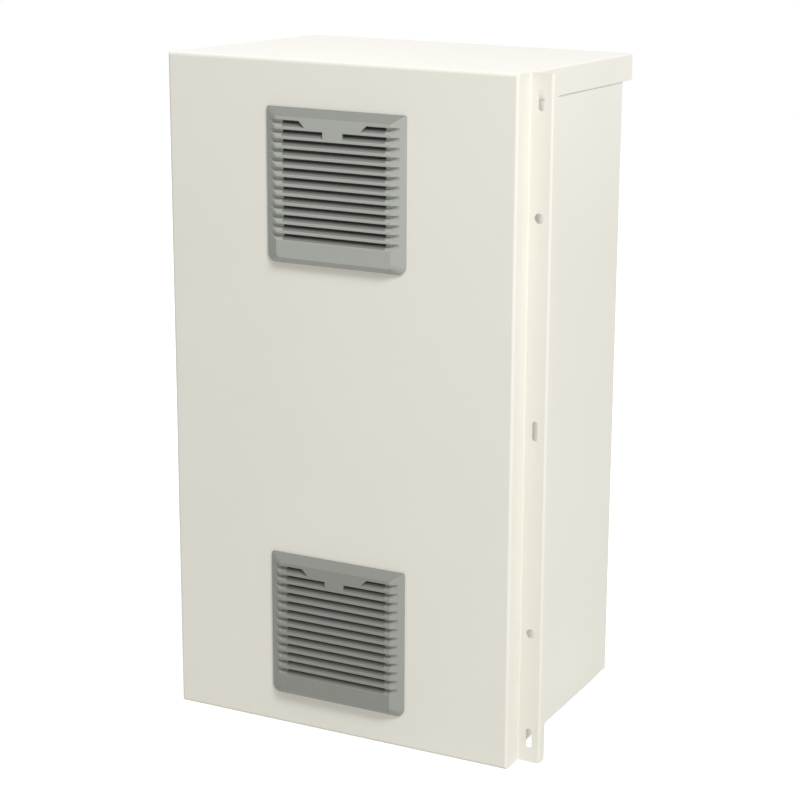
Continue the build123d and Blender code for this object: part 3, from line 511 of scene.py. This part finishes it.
# To the eye: a warm metal in brown clouds, with the shine only in the clear parts.
stain = {"Vector": where, "Scale": per_mm(22), "Detail": 4.0}
dull = add_node(tree, "ShaderNodeTexNoise", stain).outputs["Fac"]
blend = {"Factor": dull, "A": linear("#C98860"), "B": linear("#9C5F42")}
tone = add_node(tree, "ShaderNodeMix", blend, data_type="RGBA").outputs["Result"]
spread = {"Value": dull, "To Min": 0.24, "To Max": 0.46}
polish = add_node(tree, "ShaderNodeMapRange", spread).outputs["Result"]
tree.links.new(tone, shader.inputs["Base Color"])
tree.links.new(polish, shader.inputs["Roughness"])
fine_relief(tree, shader, where, size=3, depth=0.01)
finishes["copper_bar"] = copper
print("copper finish", copper.name)

# %% [markdown]
# The clamp screws of the earth bar are turned brass. They are small and handled often, so they
# stay bright. One colour with an uneven polish is enough for something this small.

# %% Turned brass
brass, tree, shader, where = new_material("turned_brass", "#C9A75E", roughness=0.25, metallic=1.0)
# To the eye: a clean yellow metal, brighter than the copper under it.
uneven_polish(tree, shader, where, size=2, smoothest=0.2, roughest=0.34)
fine_relief(tree, shader, where, size=1.0, depth=0.01)
finishes["brass_screw"] = brass
print("finishes", len(finishes))

# %% [markdown]
# Every fixed piece now gets its finish. The record says which slot each piece belongs to, so one
# loop does it, and a piece that is added later is dressed as well. The housings behind the covers
# share the upper cover's plastic. The lower cover has the same slot but is a shade darker, so it
# is given its own plastic afterwards.

# %% Dress every fixed piece
for subpart in frame["record"]["subparts"]:
    piece = frame["nodes"][subpart["node"]]
    for material_slot in piece.material_slots:
        material_slot.material = finishes[subpart["material_slot"]]
for material_slot in frame["nodes"]["vent_cover_lower"].material_slots:
    material_slot.material = darker_abs

# %% [markdown]
# The small parts that a workshop buys in come next. Each one was built as a plain solid, and here
# it gets the edges and recesses that make it read as a real screw, nut or plug. They are modelled
# as by hand, with the tools of edit mode. By hand one clicks on a face. A script picks it by its
# place, so these helpers select, extrude and resize by numbers.

# %% Helpers for edit mode
TINY = 0.01 * MM


def select_only(piece):
    """Selects one piece and makes it the active one."""
    bpy.ops.object.select_all(action="DESELECT")
    piece.select_set(True)
    bpy.context.view_layer.objects.active = piece


def open_edit(piece, kind):
    """Goes into edit mode with nothing selected."""
    select_only(piece)
    bpy.ops.object.mode_set(mode="EDIT")
    bpy.ops.mesh.select_mode(type=kind)
    bpy.ops.mesh.select_all(action="DESELECT")


def close_edit():
    """Goes back to object mode."""
    bpy.ops.object.mode_set(mode="OBJECT")


def pick(piece, kind, test):
    """Selects only the faces or edges that pass a test."""
    bpy.ops.mesh.select_mode(type=kind)
    bpy.ops.mesh.select_all(action="DESELECT")
    shape = bmesh.from_edit_mesh(piece.data)
    for element in shape.faces if kind == "FACE" else shape.edges:
        element.select_set(bool(test(element)))
    bmesh.update_edit_mesh(piece.data)


def at_level(level, axis=2):
    """A test for faces or edges that lie wholly in one plane."""
    return lambda element: all(abs(vert.co[axis] - level) < TINY for vert in element.verts)


def extrude_by(x, y, z):
    """Pulls the selected faces or edges out by a distance."""
    bpy.ops.mesh.extrude_region_move(TRANSFORM_OT_translate={"value": (x, y, z)})


def widen(x_share, y_share, centre=(0, 0, 0)):
    """Makes what is selected wider or narrower about a point, and keeps its height."""
    bpy.ops.transform.resize(value=(x_share, y_share, 1), center_override=centre)


def round_edges(width, segments):
    """Rounds the selected edges off."""
    bpy.ops.mesh.bevel(offset=width, segments=segments, profile=0.5)


print("edit helpers ready, places are matched to", TINY / MM, "mm")

# %% [markdown]
# Sockets, slots and bores are cut with another solid, as a drill or a saw would. They could be
# made by inset and extrude alone, but a round face only gives a round recess. A cutter reaches a
# little past the surface, because two faces in one plane confuse a boolean.

# %% Helpers for rods and cuts
OVERRUN = 1.0 * MM


def apply_place(piece):
    """Puts a new piece's place, turn and size into its mesh."""
    select_only(piece)
    bpy.ops.object.transform_apply(location=True, rotation=True, scale=True)


def combine(piece, tool, operation):
    """Cuts, joins or intersects with another mesh, and then removes that mesh."""
    select_only(piece)
    boolean = piece.modifiers.new("boolean", "BOOLEAN")
    boolean.operation = operation
    boolean.object = tool
    bpy.ops.object.modifier_apply(modifier=boolean.name)
    bpy.data.objects.remove(tool)


def add_rod(radius, low_z, high_z, sides=32, spin=0.0):
    """An upright cylinder between two heights."""
    bpy.ops.mesh.primitive_cylinder_add(
        vertices=sides,
        radius=radius,
        depth=high_z - low_z,
        location=(0, 0, (low_z + high_z) / 2),
        rotation=(0, 0, spin),
    )
    rod = bpy.context.object
    apply_place(rod)
    return rod


def add_block(low, high):
    """A box between two corners."""
    bpy.ops.mesh.primitive_cube_add(size=1, location=(low + high) / 2)
    block = bpy.context.object
    block.scale = high - low
    apply_place(block)
    return block


print("cutters reach", OVERRUN / MM, "mm past a surface")

# %% [markdown]
# A part that repeats is modelled once, upright at the origin with its seat at height zero, and
# then copied. The copies' places could be typed in, but then they would be wrong as soon as the
# cabinet's size changes. Instead each fixed piece is split into its separate solids, and the box
# of each solid gives the seat.

# %% Finding the seats


def solid_boxes(node):
    """The lowest and highest corner of each separate solid in a fixed piece."""
    shape = bmesh.new()
    shape.from_mesh(frame["nodes"][node].data)
    bmesh.ops.remove_doubles(shape, verts=shape.verts, dist=TINY)
    waiting = set(shape.verts)
    boxes = []
    while waiting:
        group = [waiting.pop()]
        for vert in group:
            for edge in vert.link_edges:
                other = edge.other_vert(vert)
                if other in waiting:
                    waiting.remove(other)
                    group.append(other)
        lows = [min(vert.co[axis] for vert in group) for axis in range(3)]
        highs = [max(vert.co[axis] for vert in group) for axis in range(3)]
        boxes.append((Vector(lows), Vector(highs)))
    shape.free()
    return sorted(boxes, key=lambda box: tuple(box[0]))


print("seats for rail bolts", len(solid_boxes("rail_bolts")))

# %% [markdown]
# A finished piece needs a name, smooth shading below a certain angle, its finish and the body that it
# moves with, and the plain node that it stands for is hidden. Shading all of it smooth would blur the
# sharp edges of a nut. The copies of one pattern are joined, because they are one node of the part.

# %% Finishing and setting down
smooth_below = math.radians(35)


def finish_piece(piece, name, body, slot, node):
    """Gives a piece its name, smooth shading, finish and body, and hides the node it stands for."""
    piece.name = name
    piece.data.name = name
    select_only(piece)
    bpy.ops.object.shade_smooth_by_angle(angle=smooth_below)
    piece.data.materials.clear()
    piece.data.materials.append(finishes[slot])
    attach(piece, body)
    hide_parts(node)
    print(name, "faces", len(piece.data.polygons), "on", body)


def set_down(pattern, name, body, slot, node, facing, lift=0.0):
    """Copies a pattern onto the seat of each solid of a node, and joins the copies.

    facing gives the way that a solid at some place points. lift is how far the pattern's own zero
    lies above the end of the solid, as with a screw whose shank goes below its seat.
    """
    bpy.ops.object.select_all(action="DESELECT")
    for low, high in solid_boxes(node):
        middle_point = (low + high) / 2
        way = Vector(facing(middle_point))
        reach = sum(abs(part) * size / 2 for part, size in zip(way, high - low))
        seat = middle_point - way * (reach - lift)
        turn = way.to_track_quat("Z", "Y").to_matrix().to_4x4()
        copy = bpy.data.objects.new(name, pattern.data.copy())
        copy.data.transform(Matrix.Translation(seat) @ turn)
        bpy.context.collection.objects.link(copy)
        copy.select_set(True)
        bpy.context.view_layer.objects.active = copy
    bpy.ops.object.join()
    finish_piece(bpy.context.view_layer.objects.active, name, body, slot, node)


print("placing helpers ready")

# %% [markdown]
# Screws point different ways: out of the door side, down through the floor, or towards the middle
# of the cabinet from either side. A part only needs to know which way its own seat faces, so each
# way is a small function of the place.

# %% Ways to face


def outward(point):
    """Towards the door side."""
    return (0, 1, 0)


def downward(point):
    return (0, 0, -1)


def upward(point):
    return (0, 0, 1)


def rightward(point):
    return (1, 0, 0)


def inward(point):
    """Towards the middle of the cabinet, from either side."""
    return (-math.copysign(1, point.x), 0, 0)


print("a part on the right faces", inward(Vector((1, 0, 0))))

# %% [markdown]
# A button-head screw is a flat cylinder with a rounded rim, a shank that goes on below its seat,
# and a hexagon socket. The rim is a bevel on the top edge. The shank is an inset of the lower face,
# extruded down. The socket could be an inset of the top face too, but a round face gives a round
# socket, so a six-sided cylinder cuts it instead.

# %% Button-head screws
rim_round_share = 0.6
socket_radius_share = 0.42
socket_floor_share = 0.35
socket_cutter_share = 2


def button_head(radius, height, shank_radius=0.0, shank=0.0):
    """A screw head whose seat is at height zero, with a hexagon socket."""
    head = add_rod(radius, 0, height)
    open_edit(head, "EDGE")
    pick(head, "EDGE", at_level(height))
    round_edges(height * rim_round_share, segments=4)
    if shank:
        pick(head, "FACE", at_level(0))
        bpy.ops.mesh.inset(thickness=radius - shank_radius)
        extrude_by(0, 0, -shank)
    close_edit()
    floor_z = height * socket_floor_share
    socket = add_rod(radius * socket_radius_share, floor_z, height * socket_cutter_share, sides=6)
    combine(head, socket, "DIFFERENCE")
    return head


fan_shank = 5.0 * MM
hinge_screw = button_head(4.0 * MM, 2.5 * MM)
entry_screw = button_head(4.5 * MM, 3.0 * MM)
rail_bolt = button_head(5.0 * MM, 3.0 * MM)
fan_screw = button_head(4.5 * MM, 3.0 * MM, shank_radius=2.5 * MM, shank=fan_shank)
for pattern, name, body, node, facing, lift in (
    (hinge_screw, "frame_hinge_screw_heads", "cabinet", "frame_hinge_screws", outward, 0.0),
    (hinge_screw, "door_hinge_screw_heads", "door", "door_hinge_screws", outward, 0.0),
    (entry_screw, "entry_plate_screw_heads", "cabinet", "entry_plate_screws", downward, 0.0),
    (rail_bolt, "rail_bolt_heads", "cabinet", "rail_bolts", inward, 0.0),
    (fan_screw, "fan_screw_heads", "cabinet", "fan_screws", outward, fan_shank),
):
    set_down(pattern, name, body, "zinc_fastener", node, facing, lift)
for pattern in (hinge_screw, entry_screw, rail_bolt, fan_screw):
    bpy.data.objects.remove(pattern)

# %% [markdown]
# A hexagon nut is turned on its ends before it leaves the factory, which takes off its six corners
# in a chamfer. That chamfer is the overlap of a six-sided rod and a round one with bevelled ends,
# so the two are intersected. Then the bore is cut, a hair wider than the stud.

# %% Chamfered nuts on the welded studs
nut_radius = 5.8 * MM
nut_height = 5.0 * MM
nut_chamfer = 0.7 * MM
stud_radius = 3.0 * MM
thread_gap = 0.05 * MM


def chamfered_nut():
    """A hexagon nut whose seat is at height zero."""
    barrel = add_rod(nut_radius, 0, nut_height, sides=48)
    open_edit(barrel, "EDGE")
    ends = (at_level(0), at_level(nut_height))
    pick(barrel, "EDGE", lambda edge: ends[0](edge) or ends[1](edge))
    bpy.ops.mesh.bevel(offset=nut_chamfer, segments=1)
    close_edit()
    flat_turn = math.radians(30)
    hexagon = add_rod(nut_radius, -OVERRUN, nut_height + OVERRUN, sides=6, spin=flat_turn)
    combine(barrel, hexagon, "INTERSECT")
    bore = add_rod(stud_radius + thread_gap, -OVERRUN, nut_height + OVERRUN)
    combine(barrel, bore, "DIFFERENCE")
    return barrel


nut = chamfered_nut()
for name, node, facing in (
    ("chamfered_panel_nuts", "rear_panel_nuts", outward),
    ("chamfered_hood_nuts", "roof_hood_nuts", downward),
):
    set_down(nut, name, "cabinet", "zinc_fastener", node, facing)
bpy.data.objects.remove(nut)

# %% [markdown]
# The clamp screws of the earth bar are brass cheese heads: tall, straight-sided, with one slot
# across. A box cuts the slot, as a slitting saw does. Their shanks go down into the bar.

# %% Slotted brass clamp screws
clamp_radius = 5.0 * MM
clamp_head = 3.5 * MM
clamp_shank = 4.0 * MM
clamp_shank_radius = 2.5 * MM
clamp_round = 0.5 * MM
saw_width = 1.2 * MM
saw_length = 14 * MM
saw_depth = 1.6 * MM
clamp = add_rod(clamp_radius, 0, clamp_head)
open_edit(clamp, "EDGE")
pick(clamp, "EDGE", at_level(clamp_head))
round_edges(clamp_round, segments=3)
pick(clamp, "FACE", at_level(0))
bpy.ops.mesh.inset(thickness=clamp_radius - clamp_shank_radius)
extrude_by(0, 0, -clamp_shank)
close_edit()
saw_half = Vector((saw_width / 2, saw_length / 2, saw_depth))
saw_middle = Vector((0, 0, clamp_head))
saw = add_block(saw_middle - saw_half, saw_middle + saw_half)
combine(clamp, saw, "DIFFERENCE")
set_down(
    clamp, "slotted_clamp_screws", "cabinet", "brass_screw", "earth_bar_screws",
    rightward, lift=clamp_shank,
)
bpy.data.objects.remove(clamp)

# %% [markdown]
# The blanking plugs are rubber grommets with a stepped cone in the middle, which is cut back to
# the ring that fits a cable. The steps are a run of insets and extrusions on the top face. A
# turned outline would give the same rings, but this is how one would find the shape by hand.

# %% Rubber plugs, the stepped top
plug_head_radius = 20.0 * MM
plug_top = 3.0 * MM
plug_round = 1.2 * MM
well_inset = 4.0 * MM
well_depth = 2.6 * MM
cone_steps = 4
step_ledge = 0.8 * MM
step_rise = 0.7 * MM
step_tread = 2.2 * MM
plug = add_rod(plug_head_radius, 0, plug_top, sides=48)
open_edit(plug, "EDGE")
pick(plug, "EDGE", at_level(plug_top))
round_edges(plug_round, segments=4)
pick(plug, "FACE", at_level(plug_top))
bpy.ops.mesh.inset(thickness=well_inset)
extrude_by(0, 0, -well_depth)
for step in range(cone_steps):
    bpy.ops.mesh.inset(thickness=step_ledge)
    extrude_by(0, 0, step_rise)
    bpy.ops.mesh.inset(thickness=step_tread)
print("plug top has", cone_steps, "steps")

# %% [markdown]
# Below its head a grommet has a groove that grips the plate, then a bead that is pressed through
# the hole, and a tapered end that helps it in. That is a run of extrusions and resizes on the
# lower face of the same plug.

# %% Rubber plugs, the groove below
plug_neck_radius = 15.95 * MM
plug_bead_radius = 17.5 * MM
plate = 2.0 * MM
bead_height = 2.0 * MM
taper_height = 2.0 * MM
taper_share = 0.82
pick(plug, "FACE", at_level(0))
bpy.ops.mesh.inset(thickness=plug_head_radius - plug_neck_radius)
extrude_by(0, 0, -plate)
bead_share = plug_bead_radius / plug_neck_radius
extrude_by(0, 0, 0)
widen(bead_share, bead_share)
extrude_by(0, 0, -bead_height)
extrude_by(0, 0, -taper_height)
widen(taper_share, taper_share)
close_edit()
set_down(
    plug, "stepped_rubber_plugs", "cabinet", "plug_rubber", "blanking_plugs",
    upward, lift=plate + bead_height + taper_height,
)
bpy.data.objects.remove(plug)

# %% [markdown]
# A filter mat is cut from thick fleece and never lies quite flat. A subdivided block, pushed
# inwards a little by a soft noise, gives that uneven face. It is only ever pushed inwards, so it
# stays clear of its guard bars.

# %% Uneven filter mats
lumps = bpy.data.textures.new("fleece_lumps", "CLOUDS")
lumps.noise_scale = 22 * MM
mat_cuts = 40
mat_push = 1.6 * MM


def fleece_mat(node, name):
    """A block of fleece in the place of a plain mat."""
    low, high = [Vector(corner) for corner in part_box(node)]
    mat = add_block(low, high)
    open_edit(mat, "EDGE")
    bpy.ops.mesh.select_all(action="SELECT")
    bpy.ops.mesh.subdivide(number_cuts=mat_cuts)
    close_edit()
    push = mat.modifiers.new("push", "DISPLACE")
    push.texture = lumps
    push.strength = -mat_push
    push.mid_level = 0.0
    bpy.ops.object.modifier_apply(modifier=push.name)
    finish_piece(mat, name, "cabinet", "filter_fleece", node)


fleece_mat("filter_mat_upper", "fleece_mat_upper")
fleece_mat("filter_mat_lower", "fleece_mat_lower")

# %% [markdown]
# The door gasket is foam, cast in place as one bead round the door, so it has round shoulders and
# no joints. An inset plane without its middle makes the ring, and an extrusion gives it height. A
# curve with a round section would also do, but it would turn the corners instead of mitring them.

# %% Door gasket, a square ring
bead_width = 12.0 * MM
low, high = [Vector(corner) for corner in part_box("door_seal")]
bpy.ops.mesh.primitive_plane_add(
    size=1,
    location=((low.x + high.x) / 2, high.y, (low.z + high.z) / 2),
    rotation=(math.pi / 2, 0, 0),
)
gasket = bpy.context.object
gasket.scale = (high.x - low.x, high.z - low.z, 1)
apply_place(gasket)
open_edit(gasket, "FACE")
bpy.ops.mesh.select_all(action="SELECT")
bpy.ops.mesh.inset(thickness=bead_width)
bpy.ops.mesh.delete(type="FACE")
bpy.ops.mesh.select_all(action="SELECT")
extrude_by(0, low.y - high.y, 0)
bpy.ops.mesh.select_all(action="SELECT")
bpy.ops.mesh.normals_make_consistent(inside=False)
print("gasket height", round((high.y - low.y) / MM, 1), "mm")

# %% [markdown]
# The shoulders of the bead are a bevel on its two long edges. The mitre lines lie in the same
# plane, so they are told apart by their slant and stay as they are.

# %% Door gasket, the round shoulders
shoulder = 2.4 * MM
on_front = at_level(low.y, axis=1)


def straight(edge):
    """A test for the long edges in front, which run straight up or straight across."""
    way = edge.verts[0].co - edge.verts[1].co
    return on_front(edge) and (abs(way.x) < TINY or abs(way.z) < TINY)


pick(gasket, "EDGE", straight)
round_edges(shoulder, segments=5)
close_edit()
finish_piece(gasket, "rounded_door_gasket", "door", "seal_foam", "door_seal")

# %% [markdown]
# The door lever is a zinc casting. A real one is never a plain bar: it narrows behind the boss, gets
# wider again where the fingers close round it, and ends in a blunt tip. A few extrusions of a
# short block, each resized a little, give that outline. One bevel on the sharp edges then makes the
# rounded edges of a casting.

# %% Door lever, the arm
low, high = [Vector(corner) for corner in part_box("door_handle")]
boss_radius = 13.0 * MM
arm_width = 19.0 * MM
arm_thickness = 9.0 * MM
boss_above_arm = 1.5 * MM
casting_round = 2.6 * MM
sharp_above = math.radians(40)
# Each step gives its share of the length, and how much wider and deeper the arm gets along it.
lever_steps = ((0.2, 0.84, 0.9), (0.3, 1.04, 1.06), (0.36, 1.12, 1.04), (0.14, 0.74, 0.8))
boss_x = (low.x + high.x) / 2
boss_z = high.z - boss_radius
arm_y = high.y - boss_above_arm - arm_thickness / 2
block_half = Vector((arm_width, arm_thickness, arm_width)) / 2
block_middle = Vector((boss_x, arm_y, boss_z))
lever = add_block(block_middle - block_half, block_middle + block_half)
open_edit(lever, "FACE")
pick(lever, "FACE", at_level(boss_z - arm_width / 2))
arm_reach = low.z - boss_z + arm_width / 2
for share, wider, deeper in lever_steps:
    extrude_by(0, 0, arm_reach * share)
    widen(wider, deeper, centre=(boss_x, arm_y, 0))
close_edit()
soften = lever.modifiers.new("soften", "BEVEL")
soften.width = casting_round
soften.segments = 4
soften.limit_method = "ANGLE"
soften.angle_limit = sharp_above
bpy.ops.object.modifier_apply(modifier=soften.name)
print("lever arm", round(-arm_reach / MM, 1), "mm long")

# %% [markdown]
# The boss is a round bar with a shallow raised cap, and its foot is bored out for the spindle. It
# is shaped upright, where heights are easy to read, then laid over and joined to the arm.

# %% Door lever, the boss
cap_height = 0.8 * MM
cap_inset = 2.2 * MM
boss_round = 2.2 * MM
spindle_bore_radius = 7.0 * MM
spindle_bore_depth = 8.0 * MM
boss_top = high.y - low.y - cap_height
boss = add_rod(boss_radius, 0, boss_top, sides=64)
open_edit(boss, "EDGE")
pick(boss, "EDGE", at_level(boss_top))
round_edges(boss_round, segments=4)
pick(boss, "FACE", at_level(boss_top))
bpy.ops.mesh.inset(thickness=cap_inset)
extrude_by(0, 0, cap_height)
close_edit()
spindle_bore = add_rod(spindle_bore_radius, -OVERRUN, spindle_bore_depth)
combine(boss, spindle_bore, "DIFFERENCE")
boss.rotation_euler = (-math.pi / 2, 0, 0)
boss.location = (boss_x, low.y, boss_z)
apply_place(boss)
combine(lever, boss, "UNION")
finish_piece(lever, "cast_door_lever", "handle", "handle_casting", "door_handle")

# %% [markdown]
# The cabinet stands on a plain pale floor. A floor that is bright enough to look white would throw
# its light back up at the cabinet, so it glows a little for the camera alone. Then it is white in
# the picture and still shows the shadow.

# %% Floor
floor_size = 14.0
floor_gap = 0.2 * MM
floor_glow = 0.70
low, high = [Vector(corner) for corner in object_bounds()]
middle = (low + high) / 2
bpy.ops.mesh.primitive_plane_add(size=floor_size, location=(middle.x, middle.y, low.z - floor_gap))
floor = bpy.context.object
floor.name = "studio_floor"
floor_paint = bpy.data.materials.new("studio_floor_white")
floor_paint.use_nodes = True
tree = floor_paint.node_tree
floor_shader = tree.nodes["Principled BSDF"]
floor_shader.inputs["Base Color"].default_value = linear("#E2E2E0")
floor_shader.inputs["Roughness"].default_value = 0.9
floor_shader.inputs["Emission Color"].default_value = (1, 1, 1, 1)
camera_ray = add_node(tree, "ShaderNodeLightPath").outputs["Is Camera Ray"]
glow = add_node(tree, "ShaderNodeMath", {0: camera_ray, 1: floor_glow}, operation="MULTIPLY")
tree.links.new(glow.outputs["Value"], floor_shader.inputs["Emission Strength"])
floor.data.materials.append(floor_paint)
print("floor at", round((low.z - floor_gap) / MM, 2), "mm")

# %% [markdown]
# The world is the white studio all round. Seen by the camera, or mirrored in a shiny face, it is
# full white. As a source of light it is much weaker, because full white from every side would
# wash the shadows out. The kind of ray tells which of the two it has to be.

# %% World
world_level = 0.385
world_seen = 1.0
world = bpy.data.worlds.new("studio_world")
bpy.context.scene.world = world
world.use_nodes = True
tree = world.node_tree
tree.nodes.clear()
ray = add_node(tree, "ShaderNodeLightPath").outputs
seen = ray["Is Camera Ray"]
for kind_of_ray in ("Is Glossy Ray", "Is Transmission Ray"):
    either = {0: seen, 1: ray[kind_of_ray]}
    seen = add_node(tree, "ShaderNodeMath", either, operation="MAXIMUM").outputs["Value"]
levels = {"Value": seen, "To Min": world_level, "To Max": world_seen}
strength = add_node(tree, "ShaderNodeMapRange", levels).outputs["Result"]
sky = add_node(tree, "ShaderNodeBackground", {"Color": (1, 1, 1, 1), "Strength": strength})
add_node(tree, "ShaderNodeOutputWorld", {"Surface": sky.outputs["Background"]})
print("world level", world_level)

# %% [markdown]
# A large soft lamp, high up and to the right, lights the vented face at a slant, so its louvres
# and the folded flange throw soft shadows. A weak, wide one from the far left keeps the hidden
# side from going black. A sun would give hard shadows, and the photograph has none.

# %% Soft lamps


def soft_lamp(name, place, size, power):
    """A square lamp that points at the middle of the cabinet."""
    bpy.ops.object.light_add(type="AREA", location=place)
    lamp = bpy.context.object
    lamp.name = name
    lamp.data.size = size
    lamp.data.energy = power
    lamp.rotation_euler = (Vector(place) - middle).to_track_quat("Z", "Y").to_euler()
    return lamp


key = soft_lamp("key_lamp", place=(3.5, -2.65, 5.1), size=1.4, power=296)
fill = soft_lamp("fill_lamp", place=(-3.0, 3.2, 4.5), size=3.0, power=45)
print("lamps", key.data.energy, fill.data.energy)

# %% [markdown]
# The camera stands where the photographer stood: to the right of the vented face and a little
# above it. The place, turn and lens come from lining up the cabinet's corners. The lens is long,
# so the verticals stay nearly straight. A shift of the lens moves the picture without turning the
# camera, which would change the perspective.

# %% Camera
camera_data = bpy.data.cameras.new("camera")
camera = bpy.data.objects.new("camera", camera_data)
bpy.context.collection.objects.link(camera)
picture = 800
focal_pixels = 1966.9
centre_x = 550.0
centre_y = 353.1
see_as_far_as = 50
camera_place = (1.5856, -2.9559, 1.4354)
yaw = math.radians(23.717)
pitch = math.radians(13.451)
roll = math.radians(1.274)
camera_data.sensor_width = 36.0
camera_data.lens = camera_data.sensor_width * focal_pixels / picture
camera_data.shift_x = (picture / 2 - centre_x) / picture
camera_data.shift_y = (centre_y - picture / 2) / picture
camera_data.clip_end = see_as_far_as
swing = Matrix.Rotation(yaw, 4, "Z")
tilt = Matrix.Rotation(math.pi / 2 - pitch, 4, "X")
lean = Matrix.Rotation(roll, 4, "Z")
camera.matrix_world = Matrix.Translation(camera_place) @ (swing @ tilt @ lean)
bpy.context.scene.camera = camera
bpy.context.scene.view_settings.view_transform = "Standard"
print("lens", round(camera_data.lens, 1), "shift", camera_data.shift_x, round(camera_data.shift_y, 4))
